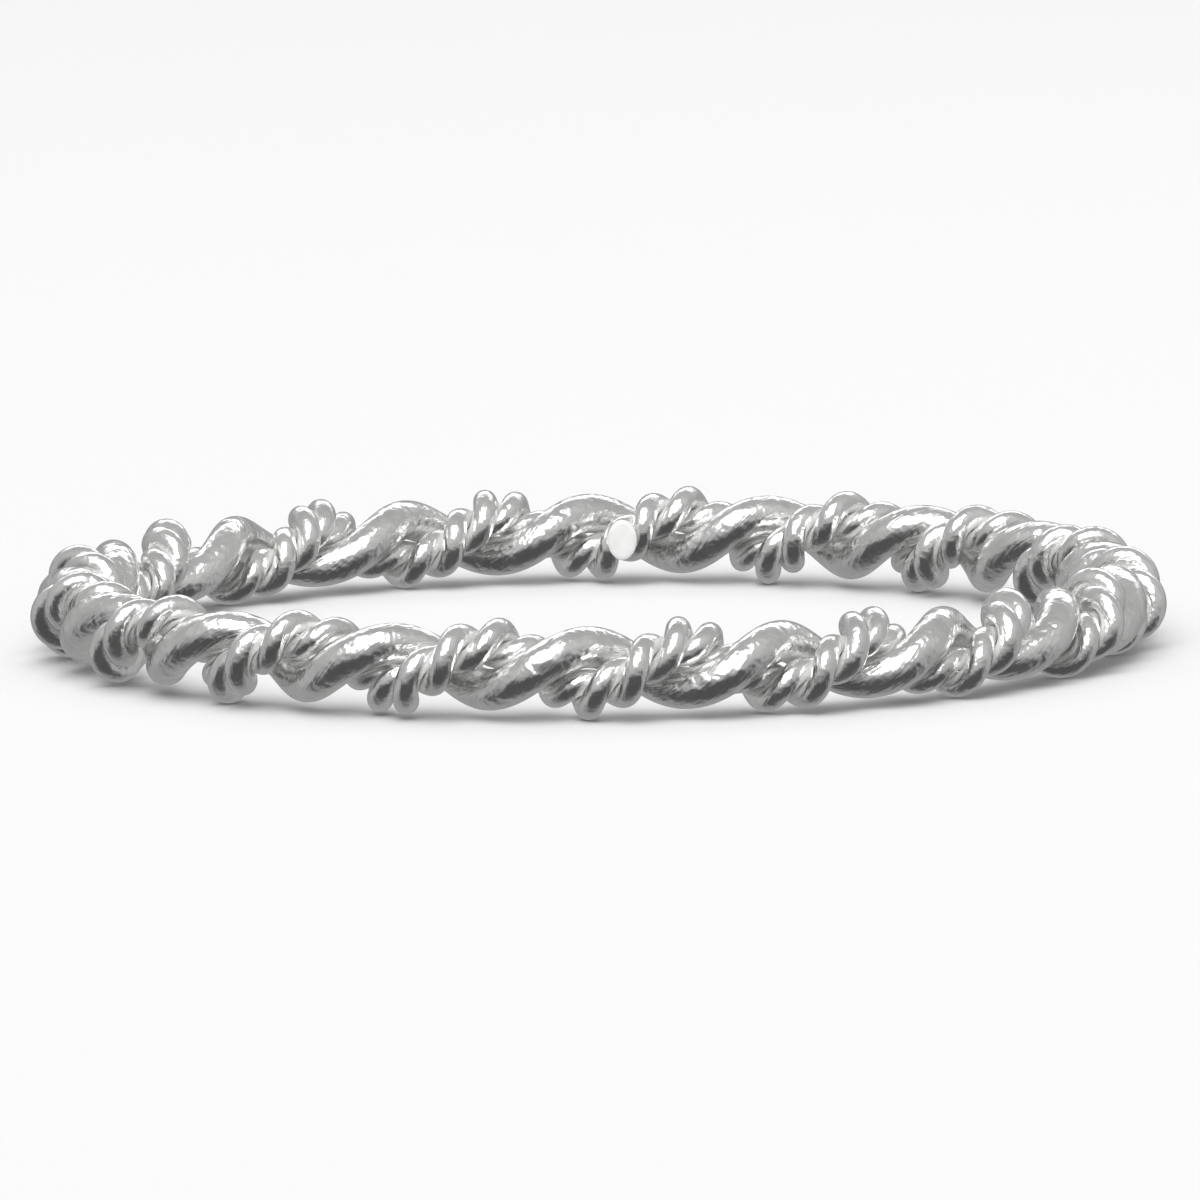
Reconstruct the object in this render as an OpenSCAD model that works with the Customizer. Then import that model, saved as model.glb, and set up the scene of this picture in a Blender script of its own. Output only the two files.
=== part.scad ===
// Rope twist ring: a heavy round wire and a twisted pair of fine wires laid round each
// other and closed into a finger ring, with a small blank oval tag inside at the back.
// Millimetres. The ring lies flat, its axis is Z, its lowest points are at z = 0, and
// -Y is its front. Angles run round the ring from the front towards +X.

/* [Ring] */
// Inner diameter of the finger hole, between the innermost wires
hole_d = 17.2; // [15:0.1:22]
// Turns of the rope round the whole ring
rope_turns = 17; // [12:1:20]

/* [Wires] */
// Diameter of the heavy wire
heavy_d = 0.74; // [0.5:0.01:0.8]
// Diameter of each fine wire
fine_d = 0.44; // [0.3:0.01:0.44]
// Clear gap between neighbouring wires
wire_gap = 0.02; // [0.02:0.005:0.05]
// Turns of the fine pair about itself, beyond those of the rope
pair_turns = 38; // [24:1:38]

/* [Oval tag] */
// Width of the tag along the ring
tag_w = 0.55; // [0.3:0.05:0.8]
// Height of the tag
tag_h = 0.75; // [0.4:0.05:1]
// Thickness of the tag
tag_t = 0.12; // [0.08:0.01:0.3]
// Place of the tag, in degrees round from the front
tag_at = 176.8; // [150:0.1:210]

/* [Hidden] */

// A hand-laid rope isn't even: the heavy wire runs ahead of an even lay, most of all near
// the back. By how many degrees, at which angle round the ring, and where it's even again
lead_most = 135;
lead_at = 190;
lead_end = 295;

// Where the heavy wire stands at the front: 0 is outermost, 90 is on top
heavy_start = 115;
// Where the fine wires stand about the middle of their pair at the front
pair_start = 140;
heavy_sides = 10;
heavy_rings_per_turn = 14;
fine_sides = 6;
fine_rings_per_turn = 27;
tag_points = 24;

// Distance of each centre line from the middle of the rope
heavy_lay_r = (heavy_d + wire_gap) / 2;
pair_r = (fine_d + wire_gap) / 2;
pair_lay_r = pair_r + (fine_d + wire_gap) / 2;
// Half the depth of the rope, and the circle that its middle follows
rope_r = pair_lay_r + pair_r + fine_d / 2;
ring_r = hole_d / 2 + rope_r;

function unit(v) = v / norm(v);
// Part of v square to the unit vector t, at length 1
function square_to(v, t) = unit(v - (v * t) * t);

// From 0 to 1 with a soft start and end
function eased(s) = (1 - cos(180 * s)) / 2;
// How far the heavy wire runs ahead at a place round the ring
function lead(phi) =
    let (a = (phi + 360) % 360)
    lead_most * (a < lead_at ? eased(a / lead_at)
        : a < lead_end ? eased((lead_end - a) / (lead_end - lead_at))
        : 0);

// Directions at a place round the ring: outward, and from the rope's middle to the
// heavy wire
function outward(phi) = [sin(phi), -cos(phi), 0];
function heavy_angle(phi) = rope_turns * phi + heavy_start + lead(phi);
function to_heavy(phi) =
    let (a = heavy_angle(phi))
    cos(a) * outward(phi) + [0, 0, sin(a)];

// Centre lines
function rope_centre(phi) = ring_r * outward(phi) + [0, 0, rope_r];
function heavy_centre(phi) = rope_centre(phi) + heavy_lay_r * to_heavy(phi);
function pair_centre(phi) = rope_centre(phi) - pair_lay_r * to_heavy(phi);
function pair_angle(phi) = pair_start - pair_turns * phi;
function to_fine(phi, side) =
    let (
        t = unit(pair_centre(phi + 0.05) - pair_centre(phi - 0.05)),
        e1 = square_to(-to_heavy(phi), t),
        e2 = cross(t, e1),
        b = pair_angle(phi) + side
    )
    cos(b) * e1 + sin(b) * e2;
function fine_centre(phi, side) = pair_centre(phi) + pair_r * to_fine(phi, side);

// A closed wire: rings of points round its centre line, joined by triangles
module closed_wire(centres, references, d, sides) {
    n = len(centres);
    points = [
        for (i = [0 : n - 1])
            let (
                t = unit(centres[(i + 1) % n] - centres[(i + n - 1) % n]),
                e1 = square_to(references[i], t),
                e2 = cross(t, e1)
            )
            for (j = [0 : sides - 1])
                centres[i] + d / 2 * (cos(360 * j / sides) * e1 + sin(360 * j / sides) * e2)
    ];
    faces = [
        for (i = [0 : n - 1])
            for (j = [0 : sides - 1])
                let (
                    a = i * sides + j,
                    b = i * sides + (j + 1) % sides,
                    c = (i + 1) % n * sides + (j + 1) % sides,
                    e = (i + 1) % n * sides + j
                )
                for (face = [[a, c, b], [a, e, c]]) face
    ];
    polyhedron(points, faces);
}

module heavy_wire() {
    step = 360 / (rope_turns * heavy_rings_per_turn);
    places = [for (i = [0 : rope_turns * heavy_rings_per_turn - 1]) i * step];
    color("silver")
        closed_wire([for (phi = places) heavy_centre(phi)],
                    [for (phi = places) to_heavy(phi)], heavy_d, heavy_sides);
}

module fine_wire(side) {
    step = 360 / (rope_turns * fine_rings_per_turn);
    places = [for (i = [0 : rope_turns * fine_rings_per_turn - 1]) i * step];
    color("gainsboro")
        closed_wire([for (phi = places) fine_centre(phi, side)],
                    [for (phi = places) to_fine(phi, side)], fine_d, fine_sides);
}

// An upright oval plate on the inner side, its back clear of the fine wires
module oval_tag() {
    outline = [
        for (i = [0 : tag_points - 1])
            [tag_h / 2 * cos(360 * i / tag_points), tag_w / 2 * sin(360 * i / tag_points)]
    ];
    color("whitesmoke")
        translate([0, 0, rope_r])
            rotate([0, 0, tag_at - 90])
                translate([hole_d / 2 - wire_gap, 0, 0])
                    rotate([0, -90, 0])
                        linear_extrude(tag_t)
                            polygon(outline);
}

heavy_wire();
fine_wire(0);  // fine_wire_a
fine_wire(180);  // fine_wire_b
oval_tag();
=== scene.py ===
import math

import bpy
import numpy as np
from mathutils import Matrix, Vector
from mathutils.kdtree import KDTree


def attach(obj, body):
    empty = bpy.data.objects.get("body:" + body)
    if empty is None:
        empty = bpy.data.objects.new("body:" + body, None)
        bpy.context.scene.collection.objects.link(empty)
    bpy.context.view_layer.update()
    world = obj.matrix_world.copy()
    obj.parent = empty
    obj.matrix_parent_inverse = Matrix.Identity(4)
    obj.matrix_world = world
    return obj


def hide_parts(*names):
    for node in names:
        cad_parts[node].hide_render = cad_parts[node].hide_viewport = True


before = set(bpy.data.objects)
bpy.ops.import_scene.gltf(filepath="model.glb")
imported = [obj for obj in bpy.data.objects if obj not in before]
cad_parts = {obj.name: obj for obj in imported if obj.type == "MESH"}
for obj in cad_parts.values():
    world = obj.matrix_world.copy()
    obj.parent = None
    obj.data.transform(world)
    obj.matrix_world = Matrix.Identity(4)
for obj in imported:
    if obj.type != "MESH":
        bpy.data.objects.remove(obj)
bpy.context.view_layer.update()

# Sizes of the part in metres, its turns, and angles in degrees where no other unit is
# named. They repeat the part's own source
MM = 0.001
HOLE_D = 17.2 * MM
HEAVY_D = 0.74 * MM
FINE_D = 0.44 * MM
WIRE_GAP = 0.02 * MM
TAG_W = 0.55 * MM
TAG_H = 0.75 * MM
TAG_T = 0.12 * MM
TAG_AT = math.radians(176.8)
ROPE_TURNS = 17
PAIR_TURNS = 38
HEAVY_START = 115
PAIR_START = 140
# The heavy wire runs ahead of an even lay, most of all near the back: by how many
# degrees, at which angle round the ring, and where it's even again
LEAD_MOST = 135
LEAD_AT = 190
LEAD_END = 295
HEAVY_LAY_R = (HEAVY_D + WIRE_GAP) / 2
PAIR_R = (FINE_D + WIRE_GAP) / 2
PAIR_LAY_R = PAIR_R + (FINE_D + WIRE_GAP) / 2
ROPE_R = PAIR_LAY_R + PAIR_R + FINE_D / 2
RING_R = HOLE_D / 2 + ROPE_R
# Fineness of the visible meshes
HEAVY_RINGS = ROPE_TURNS * 110
HEAVY_SIDES = 36
FINE_RINGS = ROPE_TURNS * 170
FINE_SIDES = 24
TAG_POINTS = 64
# The tag's outline from the rim of its back to near the middle of its face
TAG_PROFILE = [  # share of the oval's radius, share of the thickness
    (0.9, 0),
    (0.97, 0.06),
    (1, 0.25),
    (1, 0.62),
    (0.97, 0.82),
    (0.9, 0.93),
    (0.75, 0.97),
    (0.4, 0.995),
]
# Clear distance from the next wire at which a groove begins
GROOVE_REACH = 0.18 * MM


# The lay of the rope
def unit(v):
    return v / np.linalg.norm(v, axis=-1, keepdims=True)


def square_to(v, t):
    """The part of v square to the unit vectors t, at length 1"""
    return unit(v - (v * t).sum(-1, keepdims=True) * t)


def eased(s):
    """From 0 to 1 with a soft start and end"""
    return (1 - np.cos(math.pi * s)) / 2


def lead(phi):
    """How far in radians the heavy wire runs ahead at places phi round the ring"""
    a = np.degrees(phi) % 360
    fall = np.where(a < LEAD_END, eased((LEAD_END - a) / (LEAD_END - LEAD_AT)), 0)
    return math.radians(LEAD_MOST) * np.where(a < LEAD_AT, eased(a / LEAD_AT), fall)


def outward(phi):
    return np.stack([np.sin(phi), -np.cos(phi), 0 * phi], -1)


def to_heavy(phi):
    a = (ROPE_TURNS * phi + math.radians(HEAVY_START) + lead(phi))[:, None]
    return np.cos(a) * outward(phi) + np.sin(a) * np.array([0, 0, 1.0])


def rope_centre(phi):
    return RING_R * outward(phi) + np.array([0, 0, ROPE_R])


def heavy_centre(phi):
    return rope_centre(phi) + HEAVY_LAY_R * to_heavy(phi)


def pair_centre(phi):
    return rope_centre(phi) - PAIR_LAY_R * to_heavy(phi)


def to_fine(phi, side):
    step = math.radians(0.05)
    t = unit(pair_centre(phi + step) - pair_centre(phi - step))
    e1 = square_to(-to_heavy(phi), t)
    e2 = np.cross(t, e1)
    b = (math.radians(PAIR_START) - PAIR_TURNS * phi + side)[:, None]
    return np.cos(b) * e1 + np.sin(b) * e2


def fine_centre(phi, side):
    return pair_centre(phi) + PAIR_R * to_fine(phi, side)


# Meshes
def mesh_object(name, points, faces):
    mesh = bpy.data.meshes.new(name)
    mesh.vertices.add(len(points))
    mesh.vertices.foreach_set("co", np.asarray(points, np.float32).ravel())
    mesh.loops.add(faces.size)
    mesh.loops.foreach_set("vertex_index", faces.ravel().astype(np.int32))
    mesh.polygons.add(len(faces))
    starts = np.arange(0, faces.size, faces.shape[1], dtype=np.int32)
    mesh.polygons.foreach_set("loop_start", starts)
    mesh.update(calc_edges=True)
    mesh.shade_smooth()
    made = bpy.data.objects.new(name, mesh)
    bpy.context.scene.collection.objects.link(made)
    return made


def closed_wire(name, centres, references, diameter, sides):
    """A closed round wire of quads round its centre line, with a length-and-round map"""
    count = len(centres)
    t = unit(np.roll(centres, -1, 0) - np.roll(centres, 1, 0))
    e1 = square_to(references, t)
    e2 = np.cross(t, e1)
    round_angle = 2 * math.pi * np.arange(sides) / sides
    ring = (np.cos(round_angle)[None, :, None] * e1[:, None]
            + np.sin(round_angle)[None, :, None] * e2[:, None])
    points = (centres[:, None] + diameter / 2 * ring).reshape(-1, 3)
    i, j = np.meshgrid(np.arange(count), np.arange(sides), indexing="ij")
    i2, j2 = (i + 1) % count, (j + 1) % sides
    faces = np.stack([i * sides + j, i2 * sides + j, i2 * sides + j2, i * sides + j2], -1)
    made = mesh_object(name, points, faces.reshape(-1, 4))
    along = np.r_[0, np.cumsum(np.linalg.norm(np.roll(centres, -1, 0) - centres, axis=1))] / MM
    across = np.arange(sides + 1) / sides * math.pi * diameter / MM
    uv = np.stack([
        np.stack([along[i], across[j]], -1), np.stack([along[i + 1], across[j]], -1),
        np.stack([along[i + 1], across[j + 1]], -1), np.stack([along[i], across[j + 1]], -1),
    ], 2)
    layer = made.data.uv_layers.new(name="wire_map")
    layer.data.foreach_set("uv", uv.astype(np.float32).ravel())
    return made


# The pieces
def even_places(count):
    return np.arange(count) * 2 * math.pi / count


def make_heavy_wire():
    phi = even_places(HEAVY_RINGS)
    return closed_wire("heavy_wire_shown", heavy_centre(phi), to_heavy(phi), HEAVY_D, HEAVY_SIDES)


def make_fine_wire(name, side):
    phi = even_places(FINE_RINGS)
    return closed_wire(name, fine_centre(phi, side), to_fine(phi, side), FINE_D, FINE_SIDES)


def make_oval_tag():
    """An oval plate with a rounded rim and a slightly domed face, on the inner side"""
    count = TAG_POINTS
    turn = 2 * math.pi * np.arange(count) / count
    inward = -outward(np.array([TAG_AT]))[0]
    beside = np.cross([0, 0, 1.0], inward)
    back = np.array([0, 0, ROPE_R]) - inward * (HOLE_D / 2 - WIRE_GAP)
    points = []
    for share, height in TAG_PROFILE:
        oval = (share * TAG_W / 2 * np.cos(turn)[:, None] * beside
                + share * TAG_H / 2 * np.sin(turn)[:, None] * np.array([0, 0, 1.0]))
        points.append(back + oval + height * TAG_T * inward)
    points.append(np.stack([back, back + TAG_T * inward]))
    points = np.concatenate(points)
    rows = len(TAG_PROFILE)
    faces = []
    for r in range(rows - 1):
        for k in range(count):
            a, b = r * count + k, r * count + (k + 1) % count
            faces.append((a, b, b + count, a + count))
    caps = []
    for k in range(count):
        k2 = (k + 1) % count
        caps.append((k2, k, rows * count))
        caps.append(((rows - 1) * count + k, (rows - 1) * count + k2, rows * count + 1))
    mesh = bpy.data.meshes.new("oval_tag_shown")
    mesh.from_pydata(points.tolist(), [], faces + caps)
    mesh.update()
    mesh.shade_smooth()
    made = bpy.data.objects.new("oval_tag_shown", mesh)
    bpy.context.scene.collection.objects.link(made)
    return made


def mark_grooves(piece, neighbours):
    """Write how deep each point lies in a groove beside another wire, from 0 to 1"""
    count = len(piece.data.vertices)
    points = np.empty(count * 3, np.float32)
    piece.data.vertices.foreach_get("co", points)
    points = points.reshape(-1, 3).tolist()
    nearest = np.full(count, GROOVE_REACH)
    for centres, diameter in neighbours:
        lookup = KDTree(len(centres))
        for place, centre in enumerate(centres.tolist()):
            lookup.insert(centre, place)
        lookup.balance()
        gaps = np.array([lookup.find(point)[2] for point in points]) - diameter / 2
        nearest = np.minimum(nearest, gaps)
    depth = 1 - np.clip(nearest / GROOVE_REACH, 0, 1)
    layer = piece.data.attributes.new("groove", "FLOAT", "POINT")
    layer.data.foreach_set("value", depth.astype(np.float32))


# Materials
def node(tree, kind, at, **values):
    made = tree.nodes.new(kind)
    made.location = at
    for key, value in values.items():
        if key in made.inputs:
            made.inputs[key].default_value = value
        else:
            setattr(made, key, value)
    return made


def map_range(tree, at, value, source, target=(0, 1)):
    """A number taken from one range to another"""
    made = tree.nodes.new("ShaderNodeMapRange")
    made.location = at
    made.inputs["From Min"].default_value, made.inputs["From Max"].default_value = source
    made.inputs["To Min"].default_value, made.inputs["To Max"].default_value = target
    tree.links.new(value, made.inputs["Value"])
    return made.outputs["Result"]


# Drawing lines: changes for each millimetre along the wire, across it and in depth
LINE_STRETCH = (0.8, 13.0, 1.0)
# Rubbing marks for each metre, and the roughness that they add
RUB_SCALE = 14 / MM
RUB_ROUGHNESS = 0.14
# Brightness of the darker patches
PATCH_SHADE = 0.90
# Noise, or depth in a groove, between which each effect comes in
PATCH_RANGE = (0.35, 0.6)
RUB_RANGE = (0.35, 0.75)
GROOVE_RANGE = (0.25, 0.85)
# Roughness deep in a groove, and its share of the metal's reflection
GROOVE_ROUGHNESS = 0.42
GROOVE_METALLIC = 0.25


def silver(name, colour, metallic, roughness, wave_depth, wave_size, dent_depth, dent_size,
           line_depth):
    """Silver with slow waves, small dents, drawing lines, rubbing marks and pale grooves"""
    material = bpy.data.materials.new(name)
    material.use_nodes = True
    tree = material.node_tree
    link = tree.links.new
    shader = tree.nodes["Principled BSDF"]
    where = node(tree, "ShaderNodeTexCoord", (-1400, 0))
    mapped = node(tree, "ShaderNodeUVMap", (-1400, -300), uv_map="wire_map")
    waves = node(tree, "ShaderNodeTexNoise", (-1100, 200), Scale=1 / wave_size, Detail=2.0,
                 Roughness=0.45, Distortion=0.3)
    link(where.outputs["Object"], waves.inputs["Vector"])
    dents = node(tree, "ShaderNodeTexNoise", (-1100, 0), Scale=1 / dent_size, Detail=1.0,
                 Roughness=0.5)
    link(where.outputs["Object"], dents.inputs["Vector"])
    stretch = node(tree, "ShaderNodeMapping", (-1250, -300), Scale=LINE_STRETCH)
    link(mapped.outputs["UV"], stretch.inputs["Vector"])
    lines = node(tree, "ShaderNodeTexNoise", (-1050, -300), Scale=1.0, Detail=3.0,
                 Roughness=0.6)
    link(stretch.outputs["Vector"], lines.inputs["Vector"])
    rubs = node(tree, "ShaderNodeTexNoise", (-1050, -600), Scale=RUB_SCALE, Detail=4.0,
                Roughness=0.7)
    link(where.outputs["Object"], rubs.inputs["Vector"])
    # Colour: bright metal, a little darker in patches
    tint = node(tree, "ShaderNodeMix", (-400, 300), data_type="RGBA")
    tint.inputs["A"].default_value = (*[c * PATCH_SHADE for c in colour], 1)
    tint.inputs["B"].default_value = (*colour, 1)
    link(map_range(tree, (-700, 300), waves.outputs["Fac"], PATCH_RANGE),
         tint.inputs["Factor"])
    link(tint.outputs["Result"], shader.inputs["Base Color"])
    # Roughness: polished, duller where it is rubbed, and a pale matt surface in the
    # grooves, which the polishing didn't reach
    rubbed = map_range(tree, (-700, 0), rubs.outputs["Fac"], RUB_RANGE,
                       (roughness, roughness + RUB_ROUGHNESS))
    groove = node(tree, "ShaderNodeAttribute", (-1000, -900), attribute_name="groove")
    matt = map_range(tree, (-700, -900), groove.outputs["Fac"], GROOVE_RANGE)
    rough = node(tree, "ShaderNodeMix", (-400, 0), data_type="FLOAT")
    rough.inputs["B"].default_value = GROOVE_ROUGHNESS
    link(matt, rough.inputs["Factor"])
    link(rubbed, rough.inputs["A"])
    link(rough.outputs["Result"], shader.inputs["Roughness"])
    link(map_range(tree, (-400, -700), matt, (0, 1), (metallic, metallic * GROOVE_METALLIC)),
         shader.inputs["Metallic"])
    # Relief: waves, then dents, then lines
    normal = None
    for place, (height, depth) in enumerate(
            ((waves, wave_depth), (dents, dent_depth), (lines, line_depth))):
        bump = node(tree, "ShaderNodeBump", (-400 + 150 * place, -300), Strength=1.0,
                    Distance=depth)
        link(height.outputs["Fac"], bump.inputs["Height"])
        if normal:
            link(normal, bump.inputs["Normal"])
        normal = bump.outputs["Normal"]
    link(normal, shader.inputs["Normal"])
    return material


FLOOR_COLOUR = (0.77, 0.77, 0.77, 1)


def pale_floor():
    material = bpy.data.materials.new("pale_floor")
    material.use_nodes = True
    shader = material.node_tree.nodes["Principled BSDF"]
    shader.inputs["Base Color"].default_value = FLOOR_COLOUR
    shader.inputs["Roughness"].default_value = 0.9
    shader.inputs["Specular IOR Level"].default_value = 0.0
    return material


polished = silver(
    "polished_silver", (0.95, 0.95, 0.94), metallic=1.0, roughness=0.12,
    wave_depth=0.050 * MM, wave_size=0.55 * MM, dent_depth=0.024 * MM, dent_size=0.17 * MM,
    line_depth=0.012 * MM)
bright = silver(
    "bright_silver_wire", (0.96, 0.96, 0.95), metallic=1.0, roughness=0.12,
    wave_depth=0.030 * MM, wave_size=0.45 * MM, dent_depth=0.014 * MM, dent_size=0.14 * MM,
    line_depth=0.010 * MM)
satin = silver(
    "bright_silver_tag", (0.99, 0.99, 0.98), metallic=0.2, roughness=0.35,
    wave_depth=0.0005 * MM, wave_size=0.3 * MM, dent_depth=0.0005 * MM, dent_size=0.2 * MM,
    line_depth=0.0005 * MM)

heavy = make_heavy_wire()
fine_a = make_fine_wire("fine_wire_a_shown", 0)
fine_b = make_fine_wire("fine_wire_b_shown", math.pi)
tag = make_oval_tag()
places = even_places(FINE_RINGS)
wires = {
    heavy: (heavy_centre(places), HEAVY_D),
    fine_a: (fine_centre(places, 0), FINE_D),
    fine_b: (fine_centre(places, math.pi), FINE_D),
}
for piece in wires:
    mark_grooves(piece, [wires[other] for other in wires if other is not piece])
for piece, replaced, slot, material in (
    (heavy, "heavy_wire", "polished_silver", polished),
    (fine_a, "fine_wire_a", "bright_silver_wire", bright),
    (fine_b, "fine_wire_b", "bright_silver_wire", bright),
    (tag, "oval_tag", "bright_silver_tag", satin),
):
    piece.data.materials.append(material)
    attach(piece, "root")
    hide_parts(replaced)
    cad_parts[replaced].data.materials.clear()
    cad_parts[replaced].data.materials.append(material)


# Floor
FLOOR_HALF = 3.0
floor = mesh_object(
    "floor",
    [(-FLOOR_HALF, -FLOOR_HALF, 0), (FLOOR_HALF, -FLOOR_HALF, 0),
     (FLOOR_HALF, FLOOR_HALF, 0), (-FLOOR_HALF, FLOOR_HALF, 0)],
    np.array([[0, 1, 2, 3]]))
floor.data.materials.append(pale_floor())
floor.visible_glossy = False


# The studio: a soft surround whose light depends on the angle over the front horizon,
# from the front (0) over the top (90) to the back (180) and under the floor (270)
SURROUND = [  # angle, brightness
    (0, 0.36),
    (20, 0.48),
    (60, 0.56),
    (80, 0.48),
    (115, 0.42),
    (130, 0.52),
    (150, 0.46),
    (180, 0.34),
    (215, 0.34),
    (250, 0.30),
    (268, 0.20),
    (286, 0.09),
    (332, 0.08),
    (348, 0.20),
    (360, 0.36),
]
# Two soft boxes in it: middle and half size, both as angle and as reach to the side
FRONT_BOX = {"angle": 48, "half_angle": 22, "side": -0.16, "half_side": 0.32, "light": 3.5}
BACK_BOX = {"angle": 140, "half_angle": 7, "side": 0.0, "half_side": 0.5, "light": 1.8}
# Softness of the boxes' edges, as a share of their half size
BOX_EDGE = 0.3
# Light far to either side, and the reach to the side over which it takes over
SIDE_LIGHT = 0.42
SIDE_REACH = (0.7, 1.0)


def make_studio():
    world = bpy.data.worlds.new("studio")
    bpy.context.scene.world = world
    world.use_nodes = True
    tree = world.node_tree

    def link(source, node_in):
        tree.links.new(source, node_in)

    def math_node(operation, first, second=None):
        made = tree.nodes.new("ShaderNodeMath")
        made.operation = operation
        for place, value in enumerate((first, second)):
            if value is None:
                continue
            if isinstance(value, (int, float)):
                made.inputs[place].default_value = value
            else:
                link(value, made.inputs[place])
        return made.outputs["Value"]

    def smooth_step(value, start, end):
        made = tree.nodes.new("ShaderNodeMapRange")
        made.interpolation_type = "SMOOTHSTEP"
        made.inputs["From Min"].default_value = start
        made.inputs["From Max"].default_value = end
        link(value, made.inputs["Value"])
        return made.outputs["Result"]

    def within(distance, half):
        return smooth_step(distance, half * (1 + BOX_EDGE), half * (1 - BOX_EDGE))

    split = tree.nodes.new("ShaderNodeSeparateXYZ")
    link(tree.nodes.new("ShaderNodeTexCoord").outputs["Generated"], split.inputs["Vector"])
    front = math_node("MULTIPLY", split.outputs["Y"], -1)
    angle = math_node("DIVIDE", math_node("ARCTAN2", split.outputs["Z"], front), 2 * math.pi)
    share = math_node("FLOORED_MODULO", angle, 1)
    ramp = tree.nodes.new("ShaderNodeFloatCurve")
    curve = ramp.mapping.curves[0]
    for place, (at, value) in enumerate(SURROUND):
        if place < 2:
            curve.points[place].location = (at / 360, value)
        else:
            curve.points.new(at / 360, value)
    for point in curve.points:
        point.handle_type = "AUTO_CLAMPED"
    ramp.mapping.update()
    link(share, ramp.inputs["Value"])
    sideways = smooth_step(math_node("ABSOLUTE", split.outputs["X"]), *SIDE_REACH)
    blend = tree.nodes.new("ShaderNodeMix")
    link(sideways, blend.inputs["Factor"])
    link(ramp.outputs["Value"], blend.inputs["A"])
    blend.inputs["B"].default_value = SIDE_LIGHT
    light = blend.outputs["Result"]
    for box in (FRONT_BOX, BACK_BOX):
        off = math_node("ABSOLUTE", math_node("SUBTRACT", share, box["angle"] / 360))
        aside = math_node("ABSOLUTE", math_node("SUBTRACT", split.outputs["X"], box["side"]))
        inside = math_node("MULTIPLY", within(off, box["half_angle"] / 360),
                           within(aside, box["half_side"]))
        light = math_node("ADD", light, math_node("MULTIPLY", inside, box["light"]))
    link(light, tree.nodes["Background"].inputs["Color"])
    tree.nodes["Background"].inputs["Strength"].default_value = 1.0


make_studio()


def area_light(name, place, aim, width, height, power):
    data = bpy.data.lights.new(name, "AREA")
    data.shape = "RECTANGLE"
    data.size, data.size_y, data.energy = width, height, power
    made = bpy.data.objects.new(name, data)
    bpy.context.scene.collection.objects.link(made)
    made.location = place
    made.rotation_euler = (Vector(aim) - Vector(place)).to_track_quat("-Z", "Y").to_euler()
    return made


overhead = area_light("overhead_softbox", place=(0.05, -0.02, 0.4), aim=(0, 0, 0), width=0.35,
                      height=0.25, power=0.60)
overhead.visible_glossy = False

# The camera: 7.45 degrees from the ring's plane, as in the photograph
SCALE = 54.75 / MM  # pixels of the 1200 pixel frame for each metre at the ring
FRAME_SIZE = 1200
RING_PIXEL = (597.5, 598.8)
ELEVATION = math.radians(7.45)
ROLL = math.radians(0.6)
DISTANCE = 30 * RING_R
SENSOR = 36
CLIP = (0.01, 20)


def make_camera():
    data = bpy.data.cameras.new("camera")
    data.sensor_width = SENSOR
    data.lens = SENSOR * DISTANCE * SCALE / FRAME_SIZE
    data.clip_start, data.clip_end = CLIP
    made = bpy.data.objects.new("camera", data)
    bpy.context.scene.collection.objects.link(made)
    back = Vector((0, -math.cos(ELEVATION), math.sin(ELEVATION)))
    across = Vector((1, 0, 0))
    upward = back.cross(across)
    right = math.cos(ROLL) * across - math.sin(ROLL) * upward
    up = math.sin(ROLL) * across + math.cos(ROLL) * upward
    aim = (Vector((0, 0, ROPE_R)) - right * (RING_PIXEL[0] - FRAME_SIZE / 2) / SCALE
           + up * (RING_PIXEL[1] - FRAME_SIZE / 2) / SCALE)
    place = aim + back * DISTANCE
    made.matrix_world = Matrix((
        (right.x, up.x, back.x, place.x),
        (right.y, up.y, back.y, place.y),
        (right.z, up.z, back.z, place.z),
        (0, 0, 0, 1),
    ))
    bpy.context.scene.camera = made


make_camera()
bpy.context.scene.view_settings.view_transform = "Standard"
